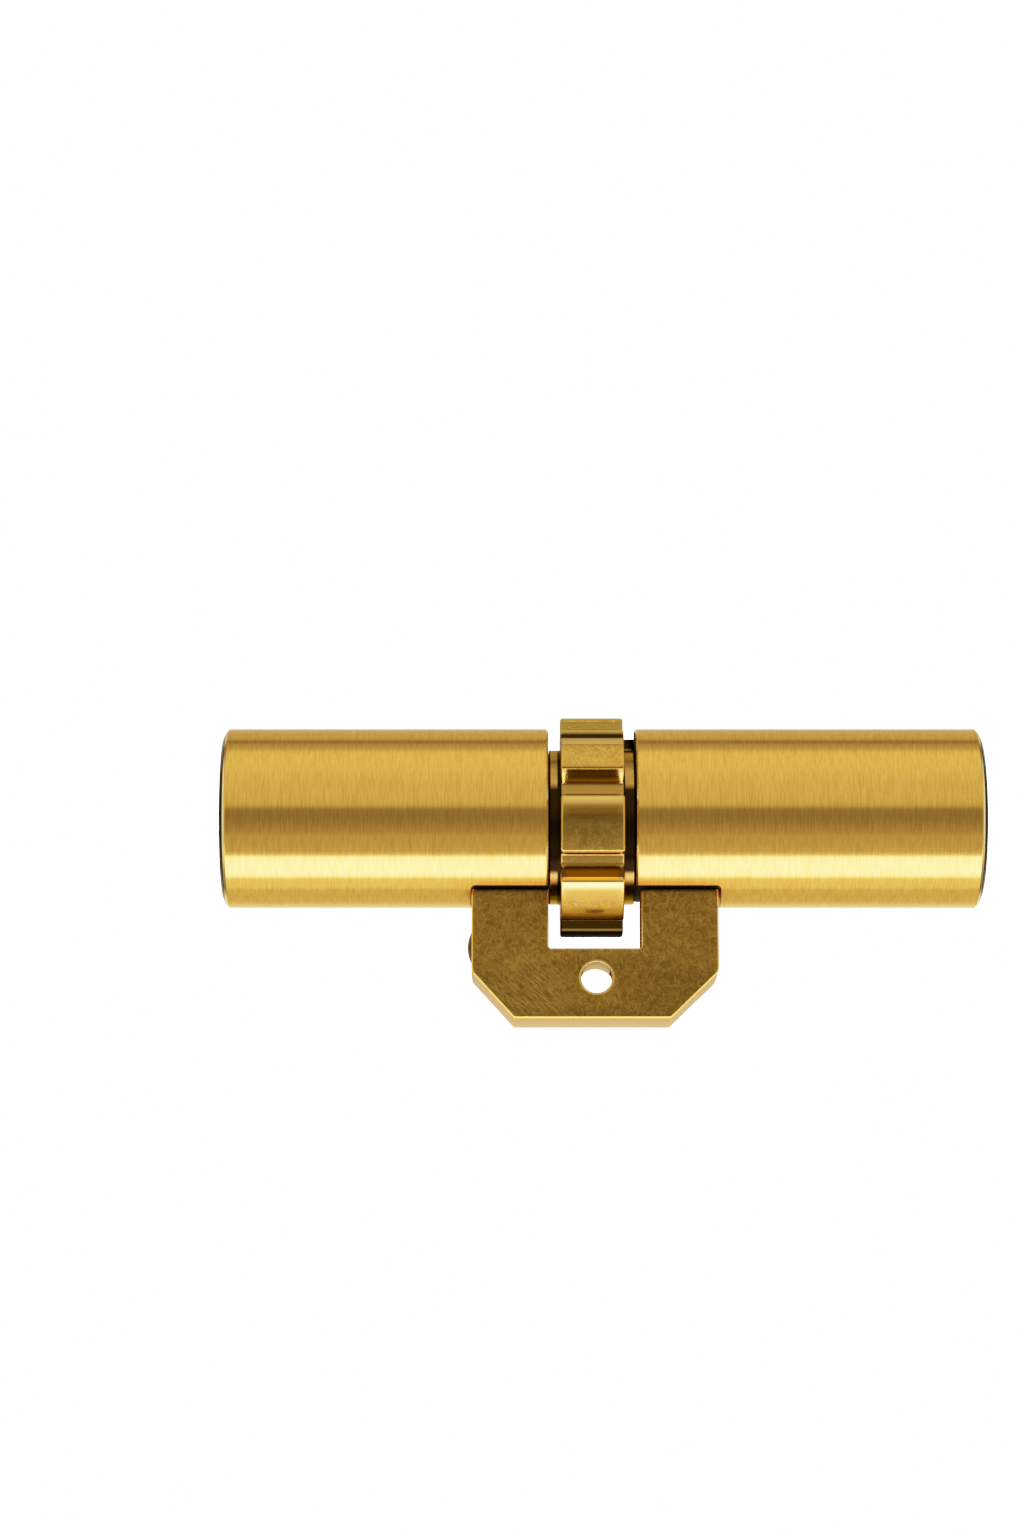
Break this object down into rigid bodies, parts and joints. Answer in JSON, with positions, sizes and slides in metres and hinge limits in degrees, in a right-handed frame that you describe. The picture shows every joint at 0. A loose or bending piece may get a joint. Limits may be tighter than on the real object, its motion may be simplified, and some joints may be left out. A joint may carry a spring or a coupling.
{
  "type": "lock cylinder",
  "caption": "Round double lock cylinder with a key-turned plug at each end, a toothed cam between the barrels and a notched bridge for the fixing screw.",
  "frame": {"origin": "centre of the fixing screw's hole, at the middle of the bridge's thickness", "axes": "+X runs along the barrels towards the longer one, +Y along the fixing screw's hole towards the back, +Z from the bridge up to the barrels"},
  "size_m": [0.1096, 0.0318, 0.0444],
  "materials": {
    "barrel_brass": "satin, turned with fine rings round the barrel",
    "bridge_brass": "dark, tumbled, with bright burnished edges",
    "gear_brass": "tumbled smooth, with bright edges",
    "plug_brass": "fine turned",
    "pin_nickel": "nickel silver, turned",
    "hard_steel": "ground",
    "spring_steel": "bright drawn"
  },
  "bodies": {
    "housing": {"left_half_body": "barrel_brass", "left_spring_1": "spring_steel", "left_spring_2": "spring_steel", "left_spring_3": "spring_steel", "left_spring_4": "spring_steel", "left_spring_5": "spring_steel", "right_half_body": "barrel_brass", "right_spring_1": "spring_steel", "right_spring_2": "spring_steel", "right_spring_3": "spring_steel", "right_spring_4": "spring_steel", "right_spring_5": "spring_steel", "bridge": "bridge_brass", "bridge_dowels": "hard_steel", "side_rivet": "bridge_brass"},
    "left_plug": {"left_plug": "plug_brass", "left_plug_clip": "spring_steel"},
    "right_plug": {"right_plug": "plug_brass", "right_plug_clip": "spring_steel"},
    "gear": {"drive_gear": "gear_brass"},
    "left_coupling": {"left_coupler": "hard_steel", "left_push_pin": "hard_steel", "coupler_spacer": "hard_steel"},
    "right_coupling": {"right_coupler": "hard_steel", "right_push_pin": "hard_steel"},
    "left_key_pin_1": {"left_key_pin_1": "pin_nickel"},
    "left_driver_pin_1": {"left_driver_pin_1": "hard_steel"},
    "left_key_pin_2": {"left_key_pin_2": "pin_nickel"},
    "left_driver_pin_2": {"left_driver_pin_2": "hard_steel"},
    "left_key_pin_3": {"left_key_pin_3": "pin_nickel"},
    "left_driver_pin_3": {"left_driver_pin_3": "hard_steel"},
    "left_key_pin_4": {"left_key_pin_4": "pin_nickel"},
    "left_driver_pin_4": {"left_driver_pin_4": "hard_steel"},
    "left_key_pin_5": {"left_key_pin_5": "pin_nickel"},
    "left_driver_pin_5": {"left_driver_pin_5": "hard_steel"},
    "right_key_pin_1": {"right_key_pin_1": "pin_nickel"},
    "right_driver_pin_1": {"right_driver_pin_1": "hard_steel"},
    "right_key_pin_2": {"right_key_pin_2": "pin_nickel"},
    "right_driver_pin_2": {"right_driver_pin_2": "hard_steel"},
    "right_key_pin_3": {"right_key_pin_3": "pin_nickel"},
    "right_driver_pin_3": {"right_driver_pin_3": "hard_steel"},
    "right_key_pin_4": {"right_key_pin_4": "pin_nickel"},
    "right_driver_pin_4": {"right_driver_pin_4": "hard_steel"},
    "right_key_pin_5": {"right_key_pin_5": "pin_nickel"},
    "right_driver_pin_5": {"right_driver_pin_5": "hard_steel"}
  },
  "joints": [
    {"name": "left_plug_turn", "type": "hinge", "parent": "housing", "child": "left_plug", "pos_m": [-0.03, 0, 0.02275], "axis": [1, 0, 0], "continuous": true},
    {"name": "right_plug_turn", "type": "hinge", "parent": "housing", "child": "right_plug", "pos_m": [0.03, 0, 0.02275], "axis": [1, 0, 0], "continuous": true},
    {"name": "gear_turn", "type": "hinge", "parent": "housing", "child": "gear", "pos_m": [-0.00063, 0, 0.02275], "axis": [1, 0, 0], "continuous": true},
    {"name": "left_coupler_slide", "type": "slide", "parent": "left_plug", "child": "left_coupling", "axis": [-1, 0, 0], "range_m": [0, 0.00165]},
    {"name": "right_coupler_slide", "type": "slide", "parent": "right_plug", "child": "right_coupling", "axis": [-1, 0, 0], "range_m": [0, 0.00165]},
    {"name": "left_key_pin_1_slide", "type": "slide", "parent": "left_plug", "child": "left_key_pin_1", "axis": [0, 0, 1], "range_m": [-0.0012, 0]},
    {"name": "left_driver_pin_1_slide", "type": "slide", "parent": "housing", "child": "left_driver_pin_1", "axis": [0, 0, 1], "range_m": [0, 0.0012], "stiffness_N_per_m": 200, "springref_m": -0.0015, "deforming": ["left_spring_1"]},
    {"name": "left_key_pin_2_slide", "type": "slide", "parent": "left_plug", "child": "left_key_pin_2", "axis": [0, 0, 1], "range_m": [-0.0012, 0]},
    {"name": "left_driver_pin_2_slide", "type": "slide", "parent": "housing", "child": "left_driver_pin_2", "axis": [0, 0, 1], "range_m": [0, 0.0012], "stiffness_N_per_m": 200, "springref_m": -0.0015, "deforming": ["left_spring_2"]},
    {"name": "left_key_pin_3_slide", "type": "slide", "parent": "left_plug", "child": "left_key_pin_3", "axis": [0, 0, 1], "range_m": [-0.0012, 0]},
    {"name": "left_driver_pin_3_slide", "type": "slide", "parent": "housing", "child": "left_driver_pin_3", "axis": [0, 0, 1], "range_m": [0, 0.0012], "stiffness_N_per_m": 200, "springref_m": -0.0015, "deforming": ["left_spring_3"]},
    {"name": "left_key_pin_4_slide", "type": "slide", "parent": "left_plug", "child": "left_key_pin_4", "axis": [0, 0, 1], "range_m": [-0.0012, 0]},
    {"name": "left_driver_pin_4_slide", "type": "slide", "parent": "housing", "child": "left_driver_pin_4", "axis": [0, 0, 1], "range_m": [0, 0.0012], "stiffness_N_per_m": 200, "springref_m": -0.0015, "deforming": ["left_spring_4"]},
    {"name": "left_key_pin_5_slide", "type": "slide", "parent": "left_plug", "child": "left_key_pin_5", "axis": [0, 0, 1], "range_m": [-0.0012, 0]},
    {"name": "left_driver_pin_5_slide", "type": "slide", "parent": "housing", "child": "left_driver_pin_5", "axis": [0, 0, 1], "range_m": [0, 0.0012], "stiffness_N_per_m": 200, "springref_m": -0.0015, "deforming": ["left_spring_5"]},
    {"name": "right_key_pin_1_slide", "type": "slide", "parent": "right_plug", "child": "right_key_pin_1", "axis": [0, 0, 1], "range_m": [-0.0012, 0]},
    {"name": "right_driver_pin_1_slide", "type": "slide", "parent": "housing", "child": "right_driver_pin_1", "axis": [0, 0, 1], "range_m": [0, 0.0012], "stiffness_N_per_m": 200, "springref_m": -0.0015, "deforming": ["right_spring_1"]},
    {"name": "right_key_pin_2_slide", "type": "slide", "parent": "right_plug", "child": "right_key_pin_2", "axis": [0, 0, 1], "range_m": [-0.0012, 0]},
    {"name": "right_driver_pin_2_slide", "type": "slide", "parent": "housing", "child": "right_driver_pin_2", "axis": [0, 0, 1], "range_m": [0, 0.0012], "stiffness_N_per_m": 200, "springref_m": -0.0015, "deforming": ["right_spring_2"]},
    {"name": "right_key_pin_3_slide", "type": "slide", "parent": "right_plug", "child": "right_key_pin_3", "axis": [0, 0, 1], "range_m": [-0.0012, 0]},
    {"name": "right_driver_pin_3_slide", "type": "slide", "parent": "housing", "child": "right_driver_pin_3", "axis": [0, 0, 1], "range_m": [0, 0.0012], "stiffness_N_per_m": 200, "springref_m": -0.0015, "deforming": ["right_spring_3"]},
    {"name": "right_key_pin_4_slide", "type": "slide", "parent": "right_plug", "child": "right_key_pin_4", "axis": [0, 0, 1], "range_m": [-0.0012, 0]},
    {"name": "right_driver_pin_4_slide", "type": "slide", "parent": "housing", "child": "right_driver_pin_4", "axis": [0, 0, 1], "range_m": [0, 0.0012], "stiffness_N_per_m": 200, "springref_m": -0.0015, "deforming": ["right_spring_4"]},
    {"name": "right_key_pin_5_slide", "type": "slide", "parent": "right_plug", "child": "right_key_pin_5", "axis": [0, 0, 1], "range_m": [-0.0012, 0]},
    {"name": "right_driver_pin_5_slide", "type": "slide", "parent": "housing", "child": "right_driver_pin_5", "axis": [0, 0, 1], "range_m": [0, 0.0012], "stiffness_N_per_m": 200, "springref_m": -0.0015, "deforming": ["right_spring_5"]}
  ],
  "couplings": [
    {"joint": "gear_turn", "follows": "left_plug_turn", "ratio": 1},
    {"joint": "right_coupler_slide", "follows": "left_coupler_slide", "ratio": 1}
  ]
}
